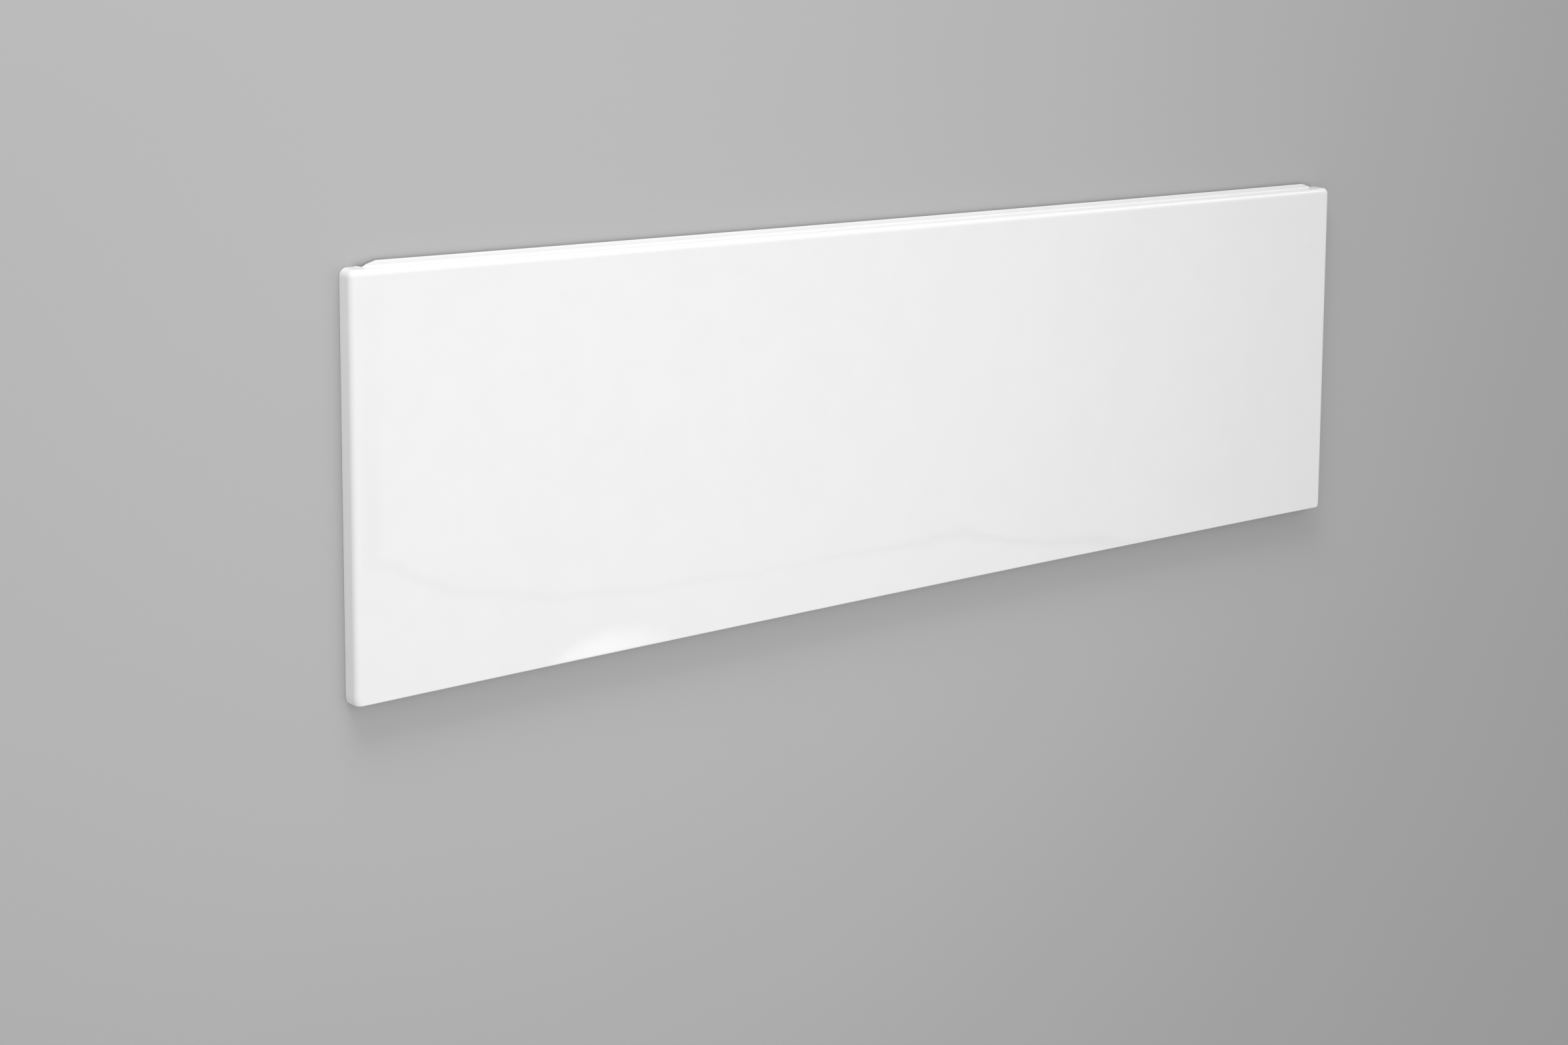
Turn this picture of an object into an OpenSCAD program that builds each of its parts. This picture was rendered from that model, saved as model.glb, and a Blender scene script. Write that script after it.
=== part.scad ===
// Bath front panel: one acrylic sheet formed over a mould, then trimmed.
// It lies face up. X runs along the length, +Y towards the edge that goes under
// the bath rim, and +Z out of the face. The back edges of the end returns are at
// Z = 0, and the origin is below the middle of the panel.

/* [Panel] */
// Overall length, over the back edges of the two end returns
panel_length = 1700; // [600:10:2000]
// Overall height, from the trimmed bottom edge to the top of the lip
panel_height = 520; // [300:5:700]
// Depth, from the face to the back edges of the end returns
panel_depth = 25; // [23:1:60]
// Thickness of the formed sheet
sheet = 4; // [2:0.5:6]

/* [Bends and corners] */
// Outer radius of the bends between the face and the returns
bend_r = 8; // [6.5:0.5:8.5]
// Draft that opens the returns towards the back, in degrees
draft = 4; // [1:0.5:8]
// Radius of the two top corners, seen from the front
top_corner_r = 9; // [8.5:0.5:30]
// Radius of the two bottom corners, seen from the front
bottom_corner_r = 28; // [20:1:80]
// Height above the trimmed bottom edge at which the bottom corners begin
bottom_corner_rise = 10; // [4:1:20]

/* [Lip] */
// Height of the lip above the top ledge
lip_height = 6.5; // [4:0.5:30]
// Distance from the face to the front of the lip
lip_setback = 18; // [14:0.5:21]
// Inner radius of the bend at the foot of the lip
lip_bend_r = 2; // [1:0.5:3]
// Plain length of ledge between each top corner and the lip
lip_corner_gap = 14; // [2:1:120]
// Length of each sloping end of the lip
lip_slope_length = 21; // [2:1:100]

/* [Hidden] */

// Bends are drawn in steps of about this many degrees
arc_step = 5;
// The part of each cutting solid that stands clear of what it cuts
cut_clear = 1;
// Places are kept to 1/1024 mm, in which sums and differences are exact, so that
// pieces that meet have the very same points there
function snap(x) = round(1024 * x) / 1024;
function snapped(points) = [for (p = points) [snap(p[0]), snap(p[1])]];

// The face's two surfaces
face_z = snap(panel_depth);
face_back_z = snap(panel_depth - sheet);

// Every section is drawn in [outward, z], with the front bend's axis at [0, bend_z].
bend_z = panel_depth - bend_r;
// How far out a return is at a height z, on its outer and its inner surface
function return_out(z) = bend_r / cos(draft) + (bend_z - z) * tan(draft);
function return_in(z) = return_out(z) - sheet / cos(draft);

// The lip: height of its front, axis of its foot bend and place of its top edge
lip_z = panel_depth - lip_setback;
lip_axis_z = lip_z + lip_bend_r;
lip_axis = [return_out(lip_axis_z) + lip_bend_r / cos(draft), lip_axis_z];
ledge_out = snap(return_out(lip_z));
lip_out = snap(ledge_out + lip_height);

// Lines of the front bends' axes, seen from the front
end_axis_x = snap(panel_length / 2 - return_out(0));
top_axis_y = snap(panel_height / 2) - lip_out;
bottom_y = -snap(panel_height / 2);

// Corner axes stand in from the front bends' axes
top_corner_in = snap(top_corner_r - bend_r);
bottom_corner_in = snap(bottom_corner_r - bend_r);
side_top_y = top_axis_y - top_corner_in;
side_bottom_y = snap(bottom_y + bottom_corner_rise);
ledge_end_x = end_axis_x - top_corner_in;
bottom_end_x = end_axis_x - bottom_corner_in;

// Ends of the lip
lip_foot_x = snap(ledge_end_x - lip_corner_gap);
lip_full_x = lip_foot_x - lip_slope_length;

function backwards(points) = [for (i = [len(points) - 1 : -1 : 0]) points[i]];
function arc(axis, r, from, to) =
    let (steps = ceil(abs(to - from) / arc_step))
    [for (i = [0 : steps])
        let (a = from + (to - from) * i / steps)
        axis + r * [cos(a), sin(a)]];
function front_bend(r) = arc([0, bend_z], r, 90, draft);
function lip_bend(r) = arc(lip_axis, r, 180 + draft, 270);

// A return as it is at the ends, trimmed at the back in the plane Z = 0. It has
// points where the lip's bend starts, so that the ledge meets both alike.
module end_return_section() {
    polygon(snapped(concat(
        front_bend(bend_r),
        [lip_bend(lip_bend_r)[0], [return_out(0), 0]],
        [[return_in(0), 0], lip_bend(lip_bend_r + sheet)[0]],
        backwards(front_bend(bend_r - sheet))
    )));
}

// The top return: ledge, foot bend and lip
module lip_section() {
    polygon(snapped(concat(
        front_bend(bend_r),
        lip_bend(lip_bend_r),
        [[lip_out, lip_z], [lip_out, lip_z - sheet]],
        backwards(lip_bend(lip_bend_r + sheet)),
        backwards(front_bend(bend_r - sheet))
    )));
}

module both_ends() {
    children();
    mirror([1, 0, 0]) children();
}

module face() {
    right = [
        [bottom_end_x, bottom_y],
        [bottom_end_x, side_bottom_y],
        [end_axis_x, side_bottom_y],
        [end_axis_x, side_top_y],
        [ledge_end_x, side_top_y],
        [ledge_end_x, top_axis_y]
    ];
    left = [for (p = backwards(right)) [-p[0], p[1]]];
    translate([0, 0, face_back_z]) linear_extrude(face_z - face_back_z)
        polygon(concat(right, left));
}

module end_return() {
    translate([end_axis_x, side_top_y, 0]) rotate([90, 0, 0])
        linear_extrude(side_top_y - side_bottom_y) end_return_section();
}

// A quarter turn of end return, with the piece of face inside it
module corner(corner_in) {
    rotate_extrude(angle = 90) {
        translate([corner_in, 0]) end_return_section();
        translate([0, face_back_z]) square([corner_in, face_z - face_back_z]);
    }
}

module top_corner() {
    translate([ledge_end_x, side_top_y, 0]) corner(top_corner_in);
}

// The bottom corner starts to turn and is trimmed at the bottom edge
module bottom_corner() {
    reach = bottom_corner_r + panel_depth;
    intersection() {
        translate([bottom_end_x, side_bottom_y, 0])
            rotate([0, 0, -90]) corner(bottom_corner_in);
        translate([bottom_end_x - cut_clear, bottom_y, -cut_clear])
            cube([reach, reach, panel_depth + 2 * cut_clear]);
    }
}

module plain_ledge() {
    translate([lip_foot_x, top_axis_y, 0]) rotate([90, 0, 90])
        linear_extrude(ledge_end_x - lip_foot_x) end_return_section();
}

// What is cut away above a sloping end of the lip
module lip_end_cut() {
    ledge_y = top_axis_y + ledge_out;
    top_y = top_axis_y + lip_out;
    clear_y = lip_height * cut_clear / lip_slope_length;
    translate([0, 0, -cut_clear]) linear_extrude(panel_depth + 2 * cut_clear)
        polygon([
            [lip_foot_x + cut_clear, ledge_y - clear_y],
            [lip_foot_x + cut_clear, top_y + clear_y],
            [lip_full_x - cut_clear, top_y + clear_y]
        ]);
}

// Ledge and lip from the middle of the panel to one end of the lip
module half_lip() {
    difference() {
        translate([0, top_axis_y, 0]) rotate([90, 0, 90])
            linear_extrude(lip_foot_x) lip_section();
        lip_end_cut();
    }
}

module bath_panel() {
    color("white") union() {
        face();
        both_ends() {
            half_lip();
            end_return();
            top_corner();
            bottom_corner();
            plain_ledge();
        }
    }
}

bath_panel();
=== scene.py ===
"""Looks of the bath panel: a formed white acrylic sheet, lying face up on a pale floor."""

import logging
import math
from dataclasses import dataclass, field
from enum import IntEnum
from typing import Optional, Sequence

import bpy
import numpy as np
from mathutils import Matrix, Vector


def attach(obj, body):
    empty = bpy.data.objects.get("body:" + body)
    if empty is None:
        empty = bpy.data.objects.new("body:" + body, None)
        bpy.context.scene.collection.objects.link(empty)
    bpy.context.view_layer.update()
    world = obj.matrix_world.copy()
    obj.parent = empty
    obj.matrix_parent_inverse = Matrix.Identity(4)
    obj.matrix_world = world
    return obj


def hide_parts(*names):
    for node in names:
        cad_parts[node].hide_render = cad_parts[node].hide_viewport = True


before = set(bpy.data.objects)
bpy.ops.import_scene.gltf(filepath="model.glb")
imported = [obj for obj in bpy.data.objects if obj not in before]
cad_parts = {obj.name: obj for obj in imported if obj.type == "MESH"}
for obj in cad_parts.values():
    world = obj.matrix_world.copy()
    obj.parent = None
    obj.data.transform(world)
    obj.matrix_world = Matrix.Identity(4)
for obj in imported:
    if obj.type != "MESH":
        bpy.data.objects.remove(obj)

LOG = logging.getLogger("bath_panel")
CAD_NODE = "bath_panel"
MM = 0.001
# Height of the light tent's roof, in metres
CEILING = 2.4
ACRYLIC_IOR = 1.49
# Numbers of the Mix node's sockets for colours
MIX_SHARE, MIX_FIRST, MIX_SECOND, MIX_RESULT = 0, 6, 7, 2

Point2 = tuple[float, float]
Point3 = tuple[float, float, float]
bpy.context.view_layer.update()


class Finish(IntEnum):
    """The three finishes of the sheet, in the order of the piece's material slots."""

    GLOSS = 0
    BACK = 1
    CUT_EDGE = 2


def smooth(t: float) -> float:
    """Eases t from 0 to 1 with level ends."""
    t = min(max(t, 0.0), 1.0)
    return t * t * (3 - 2 * t)


def steps(start: float, end: float, largest: float) -> list[float]:
    """Evenly spaced values from start to end.

    Args:
        start: the first value.
        end: the last value.
        largest: the largest distance between two neighbours.

    Returns:
        The values, with both ends.
    """
    count = max(1, math.ceil(abs(end - start) / largest))
    return [start + (end - start) * i / count for i in range(count + 1)]


@dataclass(frozen=True)
class Tail:
    """What follows the ledge of a section: how far it turns outward, and its lengths."""

    turn: float
    outer_length: float
    inner_length: float


@dataclass(frozen=True)
class SheetSection:
    """A section through a return, in [outward, z], with the front bend's axis at out = 0."""

    depth: float = 25.0
    sheet: float = 4.0
    bend_r: float = 8.0
    draft: float = math.radians(4.0)
    lip_setback: float = 18.0
    foot_r: float = 2.0
    arris: float = 0.7
    bend_parts: int = 14
    ledge_parts: int = 4
    foot_parts: int = 8
    tail_parts: int = 4
    margin: float = 0.6
    least_step: float = 0.004

    @property
    def axis_z(self) -> float:
        """Height of the front bend's axis."""
        return self.depth - self.bend_r

    @property
    def foot_axis(self) -> Point2:
        """Axis of the bend at the foot of the lip."""
        z = self.depth - self.lip_setback + self.foot_r
        return self.return_out(z) + self.foot_r / math.cos(self.draft), z

    @property
    def full_turn(self) -> float:
        """The turn of the foot bend that brings the lip parallel to the face."""
        return math.pi / 2 - self.draft

    def return_out(self, z: float) -> float:
        """How far out the return's outer surface is at a height z."""
        return self.bend_r / math.cos(self.draft) + (self.axis_z - z) * math.tan(self.draft)

    def plain_tail(self) -> Tail:
        """The tail of a return that runs straight down to the plane z = 0."""
        slope = math.cos(self.draft)
        starts = [self.foot_start(radius)[1] for radius in (self.foot_r, self.foot_r + self.sheet)]
        return Tail(0.0, starts[0] / slope, starts[1] / slope)

    def foot_start(self, radius: float) -> Point2:
        """Where the foot bend starts, on the skin that has this radius there."""
        out, z = self.foot_axis
        return out - radius * math.cos(self.draft), z - radius * math.sin(self.draft)

    def foot_end(self, radius: float, turn: float) -> Point2:
        """Where the foot bend ends after a turn.

        Args:
            radius: the skin's radius in the foot bend.
            turn: how far the bend has turned outward.

        Returns:
            The point of that skin.
        """
        out, z = self.foot_axis
        angle = math.pi + self.draft + turn
        return out + radius * math.cos(angle), z + radius * math.sin(angle)

    def heading(self, turn: float) -> Point2:
        """Direction of the tail after a turn."""
        return math.sin(self.draft + turn), -math.cos(self.draft + turn)

    def path(self, bend: float, foot: float, tail: Tail, length: float) -> list[Point2]:
        """Points along one skin of the section.

        Args:
            bend: the skin's radius in the front bend.
            foot: the skin's radius in the foot bend.
            tail: what follows the ledge.
            length: the skin's length in the tail.

        Returns:
            The points from the face to the trimmed edge, the same number for every tail.
        """
        bend_length = bend * (math.pi / 2 - self.draft)
        bend_end = (bend * math.cos(self.draft), self.axis_z + bend * math.sin(self.draft))
        start = self.foot_start(foot)
        ledge_length = math.dist(bend_end, start)
        foot_length = foot * tail.turn
        foot_end = self.foot_end(foot, tail.turn)
        head = self.heading(tail.turn)

        def at(s: float) -> Point2:
            """The point at a distance s along the skin."""
            if s < bend_length:
                angle = math.pi / 2 - s / bend
                return bend * math.cos(angle), self.axis_z + bend * math.sin(angle)
            s -= bend_length
            if s < ledge_length:
                down = self.heading(0.0)
                return bend_end[0] + down[0] * s, bend_end[1] + down[1] * s
            s -= ledge_length
            if s < foot_length:
                return self.foot_end(foot, s / foot)
            s -= foot_length
            return foot_end[0] + head[0] * s, foot_end[1] + head[1] * s

        total = bend_length + ledge_length + foot_length + length - self.arris
        foot_from = bend_length + ledge_length - self.margin
        foot_to = min(bend_length + ledge_length + foot_length + self.margin, total - self.least_step)
        marks = [0.0, bend_length, bend_length + self.margin, foot_from, foot_to, total]
        parts = [self.bend_parts, 1, self.ledge_parts, self.foot_parts, self.tail_parts]
        places = [0.0]
        for low, high, count in zip(marks, marks[1:], parts):
            places += [low + (high - low) * (i + 1) / count for i in range(count)]
        return [at(s) for s in places]

    def skins(self, tail: Tail) -> tuple[list[Point2], list[Point2]]:
        """The outer and inner skins of a section."""
        outer = self.path(self.bend_r, self.foot_r, tail, tail.outer_length)
        inner = self.path(self.bend_r - self.sheet, self.foot_r + self.sheet, tail, tail.inner_length)
        return outer, inner


@dataclass(frozen=True)
class Station:
    """A place on the front bend's axis, with the section that stands there."""

    x: float
    y: float
    normal: Point2
    tail: Tail


@dataclass(frozen=True)
class Wave:
    """One shallow wave that the cooled sheet keeps in its face."""

    size: float
    cycles: float
    phase: float = 0.0
    lean: float = 0.0
    across: float = 0.0
    turn: float = 0.0

    def depth(self, along: np.ndarray, up: np.ndarray) -> np.ndarray:
        """How deep the wave is, in mm.

        Args:
            along: places along the panel, from -1 to 1.
            up: places up the panel, from 0 to 1.

        Returns:
            The depths, from 0 to twice the wave's size.
        """
        ripple = np.sin(np.pi * self.cycles * along + self.lean * up + self.phase)
        return self.size * (1 + ripple * np.cos(np.pi * self.across * up + self.turn))


@dataclass
class FormedPanel:
    """The panel: one sheet formed over a mould and trimmed, as one closed mesh, in mm."""

    length: float = 1700.0
    height: float = 520.0
    section: SheetSection = field(default_factory=SheetSection)
    top_corner_r: float = 9.0
    bottom_corner_r: float = 28.0
    bottom_rise: float = 10.0
    lip_height: float = 6.5
    lip_corner_gap: float = 14.0
    lip_slope: float = 21.0
    lip_low_turn: float = math.radians(22.0)
    lip_turn_rate: float = 2.2
    lip_least: float = 1.1
    lip_rise: float = 0.1
    foot_swing: float = 7.0
    bottom_draw: float = 60.0
    waist_bottom: float = 3.0
    waist_top: float = 1.8
    waves: tuple[Wave, ...] = (
        Wave(size=0.16, cycles=2.1, phase=0.6, across=0.9),
        Wave(size=0.07, cycles=5.3, phase=1.0, lean=1.9),
        Wave(size=0.04, cycles=9.7, lean=-3.0, across=2.7, turn=0.4 - math.pi / 2),
    )
    face_cell: float = 10.0
    fine_cell: float = 1.5
    corner_cell: float = 3.0
    past_foot: float = 0.5
    bottom_cell: float = 1.2
    bottom_band: float = 6.0
    band_cell: float = 2.0
    corner_parts: int = 12
    arris_parts: int = 3
    name: str = "panel_sheet"

    @property
    def end_axis_x(self) -> float:
        """Line of the end bends' axis."""
        return self.length / 2 - self.section.return_out(0.0)

    @property
    def ledge_out(self) -> float:
        """How far out the ledge is where the lip stands on it."""
        return self.section.return_out(self.section.depth - self.section.lip_setback)

    @property
    def top_axis_y(self) -> float:
        """Line of the top bend's axis."""
        return self.height / 2 - self.ledge_out - self.lip_height

    @property
    def bottom_y(self) -> float:
        """The trimmed bottom edge."""
        return -self.height / 2

    @property
    def corner_in(self) -> float:
        """How far the top corner's axis stands in from the bends' axes."""
        return self.top_corner_r - self.section.bend_r

    @property
    def ledge_end_x(self) -> float:
        """Where the top corner starts."""
        return self.end_axis_x - self.corner_in

    @property
    def side_top_y(self) -> float:
        """Where the end returns reach the top corners."""
        return self.top_axis_y - self.corner_in

    @property
    def foot_x(self) -> float:
        """Where the lip rises from the ledge."""
        return self.ledge_end_x - self.lip_corner_gap

    def tail_at(self, x: float) -> Tail:
        """The tail of the top return's section at a place along the panel.

        Args:
            x: the place, from the middle of the panel.

        Returns:
            The lip's tail, its sloping end's, or one that swings down to the plain ledge's.
        """
        section = self.section
        along = (self.foot_x - abs(x)) / self.lip_slope
        if along >= 1:
            full = self.ledge_out + self.lip_height - section.foot_axis[0]
            return Tail(section.full_turn, full, full)
        if along >= 0:
            spare = section.full_turn - self.lip_low_turn
            turn = self.lip_low_turn + spare * smooth(self.lip_turn_rate * along)
            end = self.ledge_out + self.lip_height * along + self.lip_rise
            after = end - section.foot_end(section.foot_r, turn)[0]
            size = max(self.lip_least, after / section.heading(turn)[0])
            return Tail(turn, size, size)
        plain = section.plain_tail()
        least = self.lip_least
        swing = smooth((abs(x) - self.foot_x) / self.foot_swing)
        return Tail(
            self.lip_low_turn * (1 - swing),
            least + (plain.outer_length - least) * swing,
            least + (plain.inner_length - least) * swing,
        )

    def columns(self) -> list[float]:
        """Places across the face, closer together at the lip's ends.

        Returns:
            The places, from the left to the right.
        """
        inner = self.foot_x - self.lip_slope - 2 * self.fine_cell
        outer = self.foot_x + self.foot_swing + self.past_foot
        half = steps(0.0, inner, self.face_cell)
        half += steps(inner, outer, self.fine_cell)[1:]
        half += steps(outer, self.ledge_end_x, self.corner_cell)[1:]
        return [-x for x in reversed(half[1:])] + half

    def rows(self) -> list[float]:
        """Heights of the face's rows, closer together where the bottom corners turn.

        Returns:
            The heights, from the trimmed edge up.
        """
        low = self.bottom_y + self.section.arris
        near = self.bottom_y + self.bottom_rise
        far = near + self.bottom_band
        rows = steps(low, near, self.bottom_cell) + steps(near, far, self.band_cell)[1:]
        rows += steps(far, self.side_top_y - self.band_cell, self.face_cell)[1:]
        return rows + [self.side_top_y]

    def stations(self, columns: Sequence[float], rows: Sequence[float]) -> list[Station]:
        """The sections' places.

        Args:
            columns: places across the face.
            rows: the rows' heights.

        Returns:
            The places up the left end, along the top and down the right end.
        """
        plain = self.section.plain_tail()
        right = [Station(self.end_axis_x, y, (1.0, 0.0), plain) for y in rows]
        turns = [math.pi / 2 * i / self.corner_parts for i in range(1, self.corner_parts)]
        corner = [
            Station(
                self.ledge_end_x + self.corner_in * math.cos(a),
                self.side_top_y + self.corner_in * math.sin(a),
                (math.cos(a), math.sin(a)),
                plain,
            )
            for a in turns
        ]
        ends = right + corner
        left = [Station(-s.x, s.y, (-s.normal[0], s.normal[1]), s.tail) for s in ends]
        top = [Station(x, self.top_axis_y, (0.0, 1.0), self.tail_at(x)) for x in columns]
        return left + top + list(reversed(ends))

    def tucked(self, out: float, y: float) -> float:
        """The x of a point of the right end, drawn in where the bottom corner turns.

        Args:
            out: how far out the point is from the end bend's axis.
            y: its height on the panel.

        Returns:
            The distance from the middle of the panel.
        """
        below = self.bottom_y + self.bottom_rise - y
        if below <= 0:
            return self.end_axis_x + out
        turn_in = self.bottom_corner_r - self.section.bend_r
        return self.end_axis_x - turn_in + math.sqrt((turn_in + out) ** 2 - below**2)

    def skin(
        self, columns: Sequence[float], stations: Sequence[Station], rows: Sequence[float], inner: bool
    ) -> tuple[np.ndarray, np.ndarray]:
        """The points of one skin.

        Args:
            columns: places across the face.
            stations: the sections' places.
            rows: the rows' heights.
            inner: whether it is the skin at the back.

        Returns:
            The face's points, and the sections' points station by station.
        """
        z = self.section.depth - (self.section.sheet if inner else 0.0)
        face = np.zeros((len(rows), len(columns), 3))
        for j, y in enumerate(rows):
            drawn_in = self.end_axis_x - self.tucked(0.0, y)
            for i, x in enumerate(columns):
                ease = smooth(1 + (abs(x) - self.ledge_end_x) / self.bottom_draw)
                face[j, i] = (x - math.copysign(drawn_in * ease, x), y, z)
        strips = []
        for s in stations:
            points = self.section.skins(s.tail)[1 if inner else 0]
            if s.normal[1] == 0.0:
                side = math.copysign(1.0, s.x)
                strips.append([(side * self.tucked(out, s.y), s.y, h) for out, h in points])
            else:
                strips.append(
                    [(s.x + s.normal[0] * out, s.y + s.normal[1] * out, h) for out, h in points]
                )
        return face, np.array(strips)

    def faces(self, rows: int, columns: int, stations: int, points: int) -> list[list[int]]:
        """The faces of one skin, seen from outside.

        Args:
            rows: the number of rows of the face.
            columns: the number of its columns.
            stations: the number of sections.
            points: the number of points of a section.

        Returns:
            Lists of point numbers: the face's points row by row, then the sections' points.
        """
        def g(j: int, i: int) -> int:
            """Number of a point of the face."""
            return j * columns + i

        def s(k: int, m: int) -> int:
            """Number of a point of a section."""
            return rows * columns + k * points + m

        found = []
        for j in range(rows - 1):
            for i in range(columns - 1):
                found.append([g(j, i), g(j, i + 1), g(j + 1, i + 1), g(j + 1, i)])
            right = stations - 1 - j
            found.append([s(j, 0), g(j, 0), g(j + 1, 0), s(j + 1, 0)])
            last = columns - 1
            found.append([g(j, last), s(right, 0), s(right - 1, 0), g(j + 1, last)])
        top = rows - 1 + self.corner_parts
        for i in range(columns - 1):
            found.append([g(rows - 1, i), g(rows - 1, i + 1), s(top + i + 1, 0), s(top + i, 0)])
        for k in range(rows - 1, top):
            found.append([g(rows - 1, 0), s(k + 1, 0), s(k, 0)])
            mirrored = stations - 1 - k
            found.append([g(rows - 1, columns - 1), s(mirrored, 0), s(mirrored - 1, 0)])
        for k in range(stations - 1):
            for m in range(points - 1):
                found.append([s(k, m), s(k + 1, m), s(k + 1, m + 1), s(k, m + 1)])
        return found

    def boundary(self, rows: int, columns: int, stations: int, points: int) -> list[int]:
        """The points along the trimmed edges of one skin.

        Args:
            rows: the number of rows of the face.
            columns: the number of its columns.
            stations: the number of sections.
            points: the number of points of a section.

        Returns:
            Point numbers round the panel, against the clock from above.
        """
        first = rows * columns
        left = [first + m for m in reversed(range(points))]
        bottom = list(range(columns))
        right = [first + (stations - 1) * points + m for m in range(points)]
        back = [first + k * points + points - 1 for k in reversed(range(1, stations - 1))]
        return left + bottom + right + back

    def edge_directions(
        self, columns: Sequence[float], stations: Sequence[Station], rows: Sequence[float], inner: bool
    ) -> np.ndarray:
        """How each point along the trimmed edges moves to reach the cut, for an arris of 1 mm.

        Args:
            columns: places across the face.
            stations: the sections' places.
            rows: the rows' heights.
            inner: whether it is the skin at the back.

        Returns:
            One direction for each point of the boundary.
        """
        ends = [stations[0], stations[-1]]
        cut_ends = [Station(s.x, self.bottom_y, s.normal, s.tail) for s in ends]
        face, strips = self.skin(columns, ends, [rows[0]], inner)
        cut_face, cut_strips = self.skin(columns, cut_ends, [self.bottom_y], inner)
        bottom = (cut_face[0] - face[0]) / self.section.arris
        left, right = (cut_strips - strips) / self.section.arris
        tails = []
        for s in stations:
            out, down = self.section.heading(s.tail.turn)
            tails.append((s.normal[0] * out, s.normal[1] * out, down))
        tails = np.array(tails)
        left[-1] += tails[0]
        right[-1] += tails[-1]
        return np.concatenate([left[::-1], bottom, right, tails[1:-1][::-1]])

    def shaped(self, points: np.ndarray) -> np.ndarray:
        """The points after the sheet has cooled: a slight waist and shallow waves in the face.

        Args:
            points: places in mm.

        Returns:
            The same places on the real sheet, never outside the nominal one.
        """
        x, y, z = points.T
        out = points.copy()
        along = 2 * x / self.length
        up = np.clip((y - self.bottom_y) / self.height, 0.0, 1.0)
        out[:, 1] += (1 - along**2) * (self.waist_bottom * (1 - up) - self.waist_top * up)
        wave = sum(w.depth(along, up) for w in self.waves)
        middle = np.clip(1 - along**4, 0.0, 1.0)
        share = np.clip(z / self.section.depth, 0.0, 1.0)
        out[:, 2] -= wave * middle * share**2
        return out

    def mesh(self) -> bpy.types.Mesh:
        """Joins the two skins and the rounded cut between them.

        Returns:
            The closed mesh of the sheet, with a finish for each of its faces.
        """
        columns, rows = self.columns(), self.rows()
        stations = self.stations(columns, rows)
        skins, edges, faces, finishes = [], [], [], []
        count = 0
        for inner in (False, True):
            face, strips = self.skin(columns, stations, rows, inner)
            sizes = (len(rows), len(columns), len(stations), strips.shape[1])
            skins.append(np.concatenate([face.reshape(-1, 3), strips.reshape(-1, 3)]))
            found = self.faces(*sizes)
            ring = [count + n for n in self.boundary(*sizes)]
            if inner:
                found = [list(reversed(f)) for f in found]
            faces += [[count + n for n in f] for f in found]
            finishes += [Finish.BACK if inner else Finish.GLOSS] * len(found)
            edges.append((ring, self.edge_directions(columns, stations, rows, inner)))
            count += len(skins[-1])
        points = np.concatenate(skins)
        (outer_ring, outer_way), (inner_ring, inner_way) = edges
        a, b = points[outer_ring], points[inner_ring]
        through = (b - a) / np.linalg.norm(b - a, axis=1)[:, None]
        r = self.section.arris
        angles = [math.pi / 2 * (i + 1) / self.arris_parts for i in range(self.arris_parts)]
        loops = [a + outer_way * r * math.sin(t) + through * r * (1 - math.cos(t)) for t in angles]
        loops += [
            b + inner_way * r * math.sin(t) - through * r * (1 - math.cos(t))
            for t in reversed(angles)
        ]
        rings = [outer_ring]
        for loop in loops:
            rings.append([count + n for n in range(len(loop))])
            count += len(loop)
        rings.append(inner_ring)
        points = np.concatenate([points] + loops)
        size = len(outer_ring)
        for upper, lower in zip(rings, rings[1:]):
            for n in range(size):
                following = (n + 1) % size
                faces.append([upper[n], lower[n], lower[following], upper[following]])
                finishes.append(Finish.CUT_EDGE)
        mesh = bpy.data.meshes.new(self.name)
        mesh.from_pydata((self.shaped(points) * MM).tolist(), [], faces)
        mesh.polygons.foreach_set("material_index", [int(f) for f in finishes])
        mesh.polygons.foreach_set("use_smooth", [True] * len(mesh.polygons))
        mesh.update()
        return mesh

    def build(self, materials: Sequence[bpy.types.Material]) -> bpy.types.Object:
        """Makes the piece.

        Args:
            materials: one material for each Finish, in its order.

        Returns:
            The piece, riding on the only body in place of the CAD solid.
        """
        piece = bpy.data.objects.new(self.name, self.mesh())
        bpy.context.scene.collection.objects.link(piece)
        for material in materials:
            piece.data.materials.append(material)
        weighted = piece.modifiers.new("flat areas stay flat", "WEIGHTED_NORMAL")
        weighted.keep_sharp = True
        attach(piece, "root")
        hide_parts(CAD_NODE)
        return piece


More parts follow.
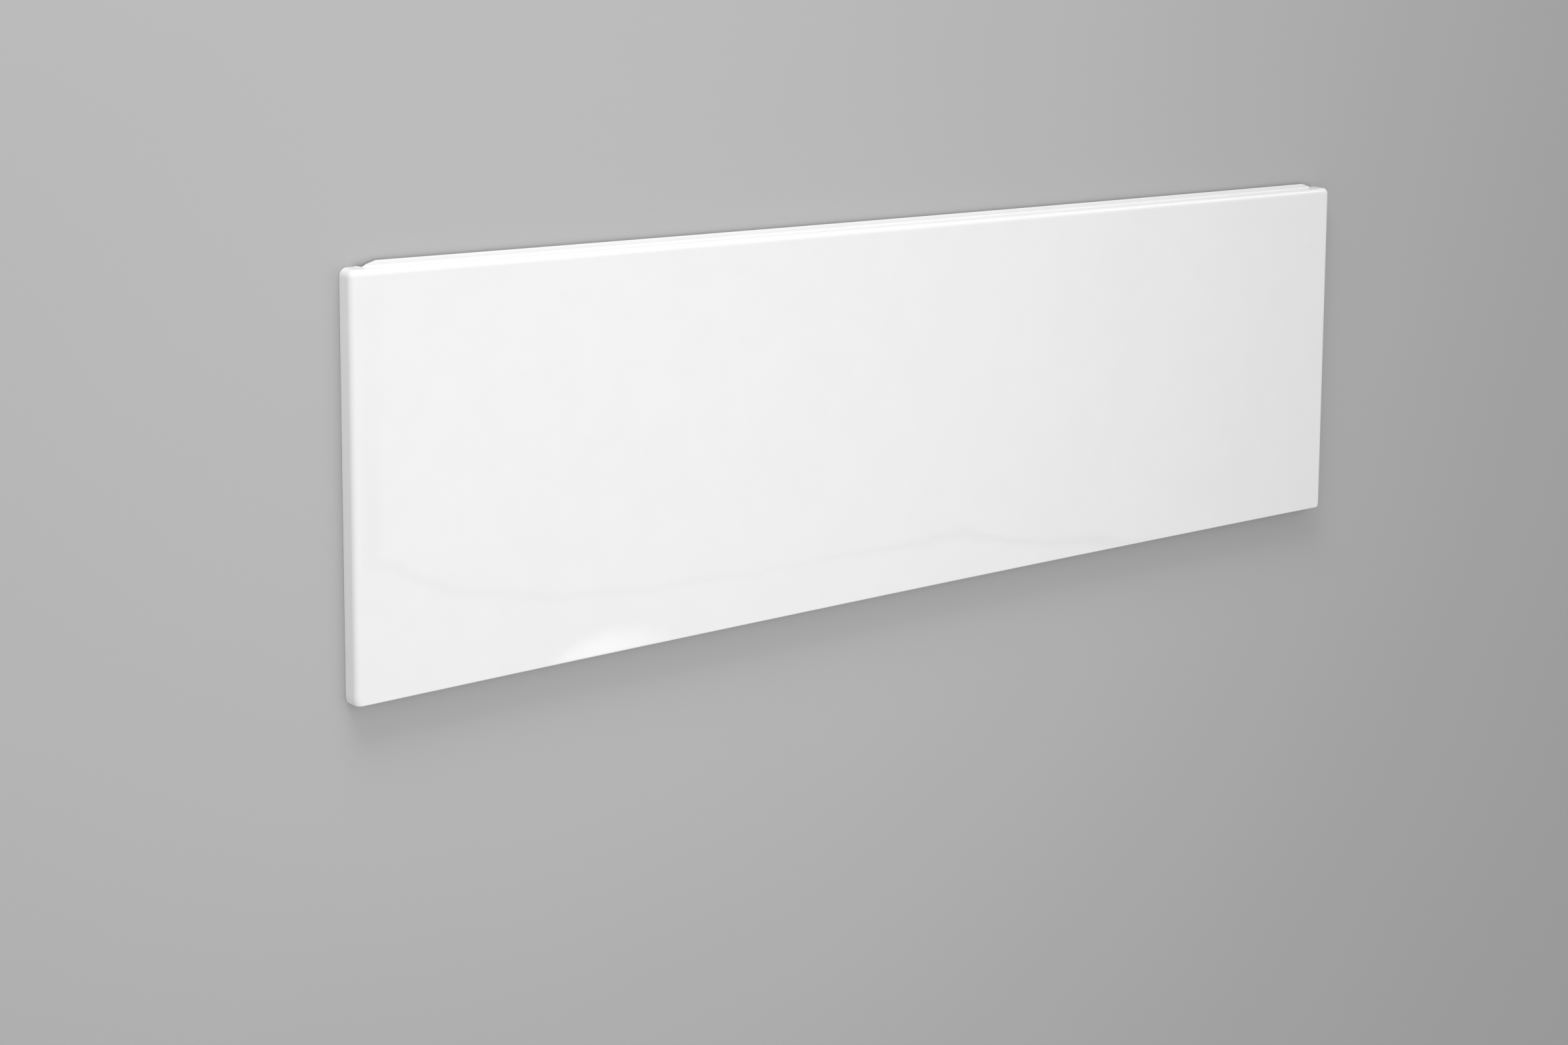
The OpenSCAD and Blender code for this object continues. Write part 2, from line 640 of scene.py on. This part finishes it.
class Graph:
    """A short way to place and join shader nodes in one tree."""

    def __init__(self, tree: bpy.types.NodeTree) -> None:
        """Keeps the tree that the nodes go into."""
        self.tree = tree

    def node(self, kind: str, inputs: Optional[dict] = None, **settings: object) -> bpy.types.Node:
        """Adds a node.

        Args:
            kind: the node's type.
            inputs: values or output sockets for its inputs, by name or number.
            settings: the node's own properties.

        Returns:
            The node.
        """
        made = self.tree.nodes.new(kind)
        for key, value in settings.items():
            setattr(made, key, value)
        for key, value in (inputs or {}).items():
            if isinstance(value, bpy.types.NodeSocket):
                self.tree.links.new(value, made.inputs[key])
            else:
                made.inputs[key].default_value = value
        return made

    def math(self, operation: str, *values: object) -> bpy.types.NodeSocket:
        """The result of a Math node on one to three values."""
        made = self.node("ShaderNodeMath", dict(enumerate(values)), operation=operation)
        return made.outputs[0]

    def noise(self, vector: object, scale: float, detail: float, rough: float = 0.5) -> object:
        """The factor of a Noise Texture."""
        inputs = {"Vector": vector, "Scale": scale, "Detail": detail, "Roughness": rough}
        return self.node("ShaderNodeTexNoise", inputs).outputs["Fac"]

    def tint(self, share: object, first: object, second: object) -> bpy.types.NodeSocket:
        """The mix of two colours, by the share of the second."""
        inputs = {MIX_SHARE: share, MIX_FIRST: first, MIX_SECOND: second}
        return self.node("ShaderNodeMix", inputs, data_type="RGBA").outputs[MIX_RESULT]

    def ramp(self, value: object, low: float, high: float, start: float, end: float) -> object:
        """Maps a value smoothly from low..high to start..end."""
        inputs = {"Value": value, 1: low, 2: high, 3: start, 4: end}
        made = self.node("ShaderNodeMapRange", inputs, interpolation_type="SMOOTHSTEP")
        return made.outputs["Result"]


def group(name: str, inputs: dict[str, float], outputs: Sequence[str]) -> tuple:
    """Starts a shader node group.

    Args:
        name: the group's name.
        inputs: its float inputs with their usual values.
        outputs: its float outputs.

    Returns:
        The tree, a Graph on it, its input node and its output node.
    """
    tree = bpy.data.node_groups.new(name, "ShaderNodeTree")
    tree.interface.new_socket("Vector", in_out="INPUT", socket_type="NodeSocketVector")
    for key, value in inputs.items():
        socket = tree.interface.new_socket(key, in_out="INPUT", socket_type="NodeSocketFloat")
        socket.default_value = value
    for key in outputs:
        tree.interface.new_socket(key, in_out="OUTPUT", socket_type="NodeSocketFloat")
    graph = Graph(tree)
    return tree, graph, graph.node("NodeGroupInput"), graph.node("NodeGroupOutput")


@dataclass
class SheetEffects:
    """Node groups for what forming and handling leave on the sheet."""

    peel: bpy.types.NodeTree = field(init=False)
    marks: bpy.types.NodeTree = field(init=False)
    dust: bpy.types.NodeTree = field(init=False)

    def __post_init__(self) -> None:
        """Builds each group once."""
        self.peel = self.forming_ripple()
        self.marks = self.handling_marks()
        self.dust = self.settled_dust()

    def forming_ripple(self) -> bpy.types.NodeTree:
        """Ripple of the softened sheet: long slow waves and fine orange peel, as a height."""
        tree, g, start, end = group(
            "forming ripple", {"Waves": 1.0, "Peel": 1.0}, ["Height", "Stretch"]
        )
        place = start.outputs["Vector"]
        long = g.noise(place, 4.5, 1.0)
        short = g.noise(place, 22.0, 2.0)
        peel = g.noise(place, 260.0, 1.0)
        waves = g.math("MULTIPLY_ADD", short, 0.12, long)
        waves = g.math("MULTIPLY", waves, start.outputs["Waves"])
        fine = g.math("MULTIPLY", g.math("MULTIPLY", peel, 0.004), start.outputs["Peel"])
        g.tree.links.new(g.math("ADD", waves, fine), end.inputs["Height"])
        g.tree.links.new(g.ramp(short, 0.3, 0.7, 0.0, 1.0), end.inputs["Stretch"])
        return tree

    def handling_marks(self) -> bpy.types.NodeTree:
        """Fine wipe marks and hairlines in two directions, as a mask."""
        tree, g, start, end = group("handling marks", {"Density": 0.5}, ["Mask", "Smear"])
        place = start.outputs["Vector"]
        masks = []
        for turn, scale in ((0.35, (5.0, 900.0, 5.0)), (-0.5, (4.0, 1300.0, 4.0))):
            mapped = g.node(
                "ShaderNodeMapping", {"Vector": place, "Rotation": (0.0, 0.0, turn), "Scale": scale}
            )
            lines = g.noise(mapped.outputs["Vector"], 1.0, 2.0, 0.6)
            masks.append(g.ramp(lines, 0.68, 0.76, 0.0, 1.0))
        smear = g.ramp(g.noise(place, 7.0, 3.0, 0.6), 0.42, 0.7, 0.0, 1.0)
        both = g.math("MAXIMUM", masks[0], masks[1])
        both = g.math("MULTIPLY", both, g.math("MULTIPLY", smear, start.outputs["Density"]))
        g.tree.links.new(both, end.inputs["Mask"])
        g.tree.links.new(smear, end.inputs["Smear"])
        return tree

    def settled_dust(self) -> bpy.types.NodeTree:
        """Fine specks and a faint film, as a mask."""
        tree, g, start, end = group("settled dust", {"Amount": 0.5}, ["Mask"])
        place = start.outputs["Vector"]
        specks = g.node("ShaderNodeTexVoronoi", {"Vector": place, "Scale": 420.0})
        near = g.ramp(specks.outputs["Distance"], 0.03, 0.1, 1.0, 0.0)
        sparse = g.ramp(g.noise(place, 60.0, 2.0), 0.58, 0.66, 0.0, 1.0)
        film = g.ramp(g.noise(place, 9.0, 3.0), 0.35, 0.75, 0.0, 0.25)
        mask = g.math("MAXIMUM", g.math("MULTIPLY", near, sparse), film)
        mask = g.math("MULTIPLY", mask, start.outputs["Amount"])
        g.tree.links.new(mask, end.inputs["Mask"])
        return tree


@dataclass(frozen=True)
class SheetFinish:
    """Shared part of the sheet's three finishes."""

    name: str
    colour: tuple[float, float, float]
    shade: tuple[float, float, float]
    roughness: float
    roughness_spread: float
    waves: float
    peel: float
    bump: float
    marks: float
    dust: float
    saw_lines: float = 0.0
    saw_roughness: float = 0.12
    smear_share: float = 0.25
    dust_colour: tuple[float, float, float] = (0.74, 0.735, 0.72)

    def material(self, effects: SheetEffects) -> bpy.types.Material:
        """Builds the material.

        Args:
            effects: the node groups that the finishes share.

        Returns:
            The material.
        """
        material = bpy.data.materials.new(self.name)
        material.use_nodes = True
        tree = material.node_tree
        tree.nodes.clear()
        g = Graph(tree)
        place = g.node("ShaderNodeTexCoord").outputs["Object"]
        ripple = self.placed(g, effects.peel, place, {"Waves": self.waves, "Peel": self.peel})
        marks = self.placed(g, effects.marks, place, {"Density": self.marks})
        dust = self.placed(g, effects.dust, place, {"Amount": self.dust})
        tone = g.tint(ripple.outputs["Stretch"], (*self.colour, 1.0), (*self.shade, 1.0))
        dusty = g.tint(dust.outputs["Mask"], tone, (*self.dust_colour, 1.0))
        worn = g.math("MAXIMUM", marks.outputs["Mask"], dust.outputs["Mask"])
        worn = g.math("MULTIPLY_ADD", marks.outputs["Smear"], self.smear_share, worn)
        height = ripple.outputs["Height"]
        rough = g.math("MULTIPLY_ADD", worn, self.roughness_spread, self.roughness)
        if self.saw_lines:
            height, rough = self.sawn(g, place, height, rough)
        bump = g.node(
            "ShaderNodeBump", {"Height": height, "Strength": 1.0, "Distance": self.bump}
        )
        shader = g.node(
            "ShaderNodeBsdfPrincipled",
            {
                "Base Color": dusty,
                "Roughness": rough,
                "Normal": bump.outputs["Normal"],
                "IOR": ACRYLIC_IOR,
            },
        )
        g.node("ShaderNodeOutputMaterial", {"Surface": shader.outputs["BSDF"]})
        return material

    def placed(
        self, g: Graph, tree: bpy.types.NodeTree, place: object, values: dict[str, float]
    ) -> bpy.types.Node:
        """Places one of the shared groups with this finish's own values.

        Args:
            g: the material's graph.
            tree: the group.
            place: where on the panel the surface is.
            values: the group's inputs by name.

        Returns:
            The group's node.
        """
        made = g.node("ShaderNodeGroup", node_tree=tree)
        g.tree.links.new(place, made.inputs["Vector"])
        for key, value in values.items():
            made.inputs[key].default_value = value
        return made

    def sawn(self, g: Graph, place: object, height: object, rough: object) -> tuple:
        """Adds the trimming cutter's fine lines.

        Args:
            g: the material's graph.
            place: where on the panel the surface is.
            height: the height so far.
            rough: the roughness so far.

        Returns:
            The height and the roughness with the lines in them.
        """
        mapped = g.node("ShaderNodeMapping", {"Vector": place, "Scale": (1400.0, 1400.0, 40.0)})
        lines = g.noise(mapped.outputs["Vector"], 1.0, 1.0, 0.5)
        height = g.math("MULTIPLY_ADD", lines, self.saw_lines, height)
        return height, g.math("MULTIPLY_ADD", lines, self.saw_roughness, rough)


def sheet_materials() -> list[bpy.types.Material]:
    """Builds the materials of the sheet.

    Returns:
        One material for each Finish, in its order.
    """
    effects = SheetEffects()
    finishes = {
        Finish.GLOSS: SheetFinish(
            name="gloss acrylic face", colour=(0.87, 0.87, 0.87), shade=(0.86, 0.86, 0.862),
            roughness=0.028, roughness_spread=0.04, waves=1.0, peel=1.0, bump=0.0005,
            marks=0.5, dust=0.04,
        ),
        Finish.BACK: SheetFinish(
            name="acrylic back", colour=(0.82, 0.82, 0.815), shade=(0.79, 0.79, 0.785),
            roughness=0.32, roughness_spread=0.15, waves=1.0, peel=6.0, bump=0.001,
            marks=0.6, dust=0.25,
        ),
        Finish.CUT_EDGE: SheetFinish(
            name="trimmed acrylic edge", colour=(0.86, 0.86, 0.86), shade=(0.83, 0.83, 0.83),
            roughness=0.3, roughness_spread=0.12, waves=0.0, peel=1.0, bump=0.0004,
            marks=0.3, dust=0.1, saw_lines=0.25,
        ),
    }
    return [finishes[kind].material(effects) for kind in Finish]


@dataclass(frozen=True)
class Lamp:
    """A soft rectangular lamp."""

    name: str
    place: Point3
    aim: Point3
    size: Point2
    power: float

    def build(self) -> bpy.types.Object:
        """Makes the lamp, which itself isn't seen.

        Returns:
            The lamp.
        """
        data = bpy.data.lights.new(self.name, "AREA")
        data.shape = "RECTANGLE"
        data.size, data.size_y = self.size
        data.energy = self.power
        lamp = bpy.data.objects.new(self.name, data)
        bpy.context.scene.collection.objects.link(lamp)
        lamp.location = self.place
        way = Vector(self.aim) - Vector(self.place)
        lamp.rotation_euler = way.to_track_quat("-Z", "Y").to_euler()
        lamp.visible_camera = False
        lamp.visible_glossy = False
        return lamp


@dataclass(frozen=True)
class GlossStrip:
    """A dark or glowing strip with soft edges that shows only in the panel's gloss."""

    name: str
    line: tuple[Point3, ...]
    widths: tuple[float, ...]
    covers: tuple[float, ...]
    facing: Point3
    glow: float
    soft_share: float

    def rows(self) -> tuple[list[Point3], list[float]]:
        """Places the strip's points, four across.

        Returns:
            The points, and how much each one covers.
        """
        line = [Vector(p) for p in self.line]
        points, covers = [], []
        for i, place in enumerate(line):
            along = line[min(i + 1, len(line) - 1)] - line[max(i - 1, 0)]
            across = Vector(self.facing).cross(along).normalized()
            half = self.widths[i] / 2
            inner = half * (1 - self.soft_share)
            points += [tuple(place + across * d) for d in (-half, -inner, inner, half)]
            covers += [0.0, self.covers[i], self.covers[i], 0.0]
        return points, covers

    def material(self) -> bpy.types.Material:
        """Builds the strip's own glow, seen as far as it covers.

        Returns:
            The material.
        """
        material = bpy.data.materials.new(self.name)
        material.use_nodes = True
        material.node_tree.nodes.clear()
        g = Graph(material.node_tree)
        cover = g.node("ShaderNodeAttribute", attribute_name="cover").outputs["Fac"]
        clear = g.node("ShaderNodeBsdfTransparent")
        glow = g.node("ShaderNodeEmission", {"Strength": self.glow})
        mixed = g.node(
            "ShaderNodeMixShader", {0: cover, 1: clear.outputs[0], 2: glow.outputs[0]}
        )
        g.node("ShaderNodeOutputMaterial", {"Surface": mixed.outputs[0]})
        return material

    def build(self) -> bpy.types.Object:
        """Makes the strip.

        Returns:
            The strip, as a part of the stage.
        """
        points, covers = self.rows()
        faces = [
            [4 * i + j, 4 * i + j + 1, 4 * i + j + 5, 4 * i + j + 4]
            for i in range(len(self.line) - 1)
            for j in range(3)
        ]
        mesh = bpy.data.meshes.new(self.name)
        mesh.from_pydata(points, [], faces)
        mesh.attributes.new("cover", "FLOAT", "POINT").data.foreach_set("value", covers)
        mesh.materials.append(self.material())
        strip = bpy.data.objects.new(self.name, mesh)
        bpy.context.scene.collection.objects.link(strip)
        strip.visible_camera = False
        strip.visible_diffuse = False
        strip.visible_shadow = False
        return strip


def overhead(places: Sequence[Point2]) -> tuple[Point3, ...]:
    """Places in the light tent's roof over the panel."""
    return tuple((x, y, CEILING) for x, y in places)


def gloss_strips() -> list[GlossStrip]:
    """What the gloss mirrors: a seam and a fold of the light tent, and two bright openings.

    Returns:
        The strips.
    """
    seam = (
        (0.349, -0.783), (0.447, -0.820), (0.517, -0.861), (0.608, -0.900), (0.734, -0.933),
        (0.875, -0.961), (1.010, -0.975), (1.155, -0.980), (1.344, -0.982), (1.558, -0.984),
        (1.828, -0.993), (2.060, -1.001), (2.130, -0.996), (2.192, -0.993), (2.245, -1.012),
        (2.462, -1.053), (2.722, -1.094), (2.854, -1.119), (3.034, -1.140), (3.300, -1.160),
    )
    seam_widths = (
        0.026, 0.034, 0.036, 0.034, 0.028, 0.026, 0.022, 0.018, 0.017, 0.017,
        0.019, 0.024, 0.038, 0.046, 0.030, 0.030, 0.042, 0.036, 0.026, 0.022,
    )
    fold = (
        (0.380, -0.10), (0.382, -0.16), (0.380, -0.35), (0.376, -0.55),
        (0.374, -0.60), (0.374, -0.765), (0.374, -0.785),
    )
    opening = (
        (0.84, -1.125), (0.88, -1.125), (0.93, -1.12), (1.02, -1.11),
        (1.11, -1.115), (1.17, -1.125), (1.24, -1.14),
    )
    up = (0.0, 0.0, 1.0)
    return [
        GlossStrip(
            name="tent seam", line=overhead(seam), widths=seam_widths,
            covers=(1.0,) * len(seam), facing=up, glow=0.0, soft_share=0.5,
        ),
        GlossStrip(
            name="tent fold", line=overhead(fold),
            widths=(0.06, 0.06, 0.052, 0.048, 0.046, 0.044, 0.044),
            covers=(0.0, 0.35, 0.45, 0.6, 0.95, 1.0, 0.0), facing=up, glow=0.0, soft_share=0.15,
        ),
        GlossStrip(
            name="tent opening", line=overhead(opening),
            widths=(0.04, 0.06, 0.08, 0.12, 0.12, 0.09, 0.06),
            covers=(0.0, 0.8, 1.0, 1.0, 0.8, 0.4, 0.0), facing=up, glow=2.6, soft_share=0.7,
        ),
        GlossStrip(
            name="tall window",
            line=((0.6, 2.7, 1.45), (1.4, 2.55, 1.4), (2.4, 2.2, 1.3), (3.2, 1.8, 1.2)),
            widths=(0.8, 0.9, 1.0, 1.0), covers=(0.3, 1.0, 1.0, 1.0),
            facing=(-0.6, -0.75, -0.35), glow=3.0, soft_share=0.35,
        ),
    ]


@dataclass
class Studio:
    """The pale floor, the even surroundings, the lamps and what the gloss mirrors."""

    floor_half: float = 30.0
    floor_drop: float = 0.0002
    floor_colour: tuple[float, float, float] = (0.47, 0.47, 0.47)
    floor_mottle: float = 0.985
    floor_roughness: float = 0.85
    floor_shine: float = 0.2
    surround: float = 0.605
    backdrop: tuple[float, float, float] = (0.32, 0.32, 0.32)
    lamps: tuple[Lamp, ...] = (
        Lamp("overhead lamp", (-0.5, -0.1, 1.3), (-0.5, -0.1, 0.0), (2.2, 1.2), 6.8),
        Lamp("low key lamp", (-1.1, 3.2, 1.1), (-0.1, 0.0, 0.0), (2.4, 1.2), 66.0),
        Lamp("left lamp", (-3.4, 0.4, 0.9), (-0.6, 0.0, 0.0), (1.6, 1.2), 3.0),
    )

    def floor(self) -> bpy.types.Object:
        """Makes the matt floor that the panel lies on.

        Returns:
            The floor, as a part of the stage.
        """
        half = self.floor_half
        mesh = bpy.data.meshes.new("floor")
        corners = [(-half, -half), (half, -half), (half, half), (-half, half)]
        mesh.from_pydata([(x, y, -self.floor_drop) for x, y in corners], [], [[0, 1, 2, 3]])
        floor = bpy.data.objects.new("floor", mesh)
        bpy.context.scene.collection.objects.link(floor)
        material = bpy.data.materials.new("matt pale floor")
        material.use_nodes = True
        material.node_tree.nodes.clear()
        g = Graph(material.node_tree)
        place = g.node("ShaderNodeTexCoord").outputs["Object"]
        mottle = g.noise(place, 3.0, 4.0)
        darker = tuple(self.floor_mottle * c for c in self.floor_colour)
        shader = g.node(
            "ShaderNodeBsdfPrincipled",
            {
                "Base Color": g.tint(mottle, (*self.floor_colour, 1.0), (*darker, 1.0)),
                "Roughness": self.floor_roughness,
                "Specular IOR Level": self.floor_shine,
            },
        )
        g.node("ShaderNodeOutputMaterial", {"Surface": shader.outputs["BSDF"]})
        mesh.materials.append(material)
        return floor

    def world(self) -> None:
        """Even surroundings that light the panel, with a pale backdrop behind the floor."""
        world = bpy.data.worlds.new("studio")
        bpy.context.scene.world = world
        world.use_nodes = True
        tree = world.node_tree
        tree.nodes.clear()
        g = Graph(tree)
        level = self.surround
        light = g.node("ShaderNodeBackground", {"Color": (level, level, level, 1.0)})
        shown = g.node("ShaderNodeBackground", {"Color": (*self.backdrop, 1.0)})
        path = g.node("ShaderNodeLightPath")
        chosen = g.node(
            "ShaderNodeMixShader",
            {0: path.outputs["Is Camera Ray"], 1: light.outputs[0], 2: shown.outputs[0]},
        )
        g.node("ShaderNodeOutputWorld", {"Surface": chosen.outputs[0]})

    def build(self) -> list[bpy.types.Object]:
        """Makes the whole studio.

        Returns:
            The floor, the lamps and the strips.
        """
        self.world()
        lamps = [lamp.build() for lamp in self.lamps]
        strips = [strip.build() for strip in gloss_strips()]
        return [self.floor()] + lamps + strips


@dataclass(frozen=True)
class PhotoCamera:
    """The camera, at the photograph's angle to the panel, which here lies on its back."""

    place: Point3 = (-2.0275, 0.6105, 2.4082)
    forward: Point3 = (0.59871, -0.10818, -0.79362)
    up: Point3 = (0.06115, 0.99412, -0.08938)
    focal_px: float = 3472.8
    width_px: float = 2352.0
    shift: float = -0.2
    sensor: float = 36.0

    def build(self) -> bpy.types.Object:
        """Makes the camera and sets it as the scene's own.

        Returns:
            The camera.
        """
        data = bpy.data.cameras.new("photo camera")
        data.sensor_width = self.sensor
        data.lens = self.focal_px / self.width_px * self.sensor
        data.shift_y = self.shift
        data.clip_start, data.clip_end = 0.05, 200.0
        camera = bpy.data.objects.new("photo camera", data)
        bpy.context.scene.collection.objects.link(camera)
        back = -Vector(self.forward).normalized()
        right = Vector(self.up).cross(back).normalized()
        up = back.cross(right)
        turn = Matrix((right, up, back)).transposed().to_4x4()
        camera.matrix_world = Matrix.Translation(self.place) @ turn
        bpy.context.scene.camera = camera
        return camera


def main() -> None:
    """Builds the studio, the camera and the panel, and reports each piece."""
    logging.basicConfig(level=logging.INFO, format="%(name)s: %(message)s")
    bpy.context.scene.view_settings.view_transform = "Standard"
    studio = [PhotoCamera().build()] + Studio().build()
    piece = FormedPanel().build(sheet_materials())
    for made in studio + [piece]:
        LOG.info("%s: %s", made.name, made.type.lower())


if __name__ == "__main__":
    main()
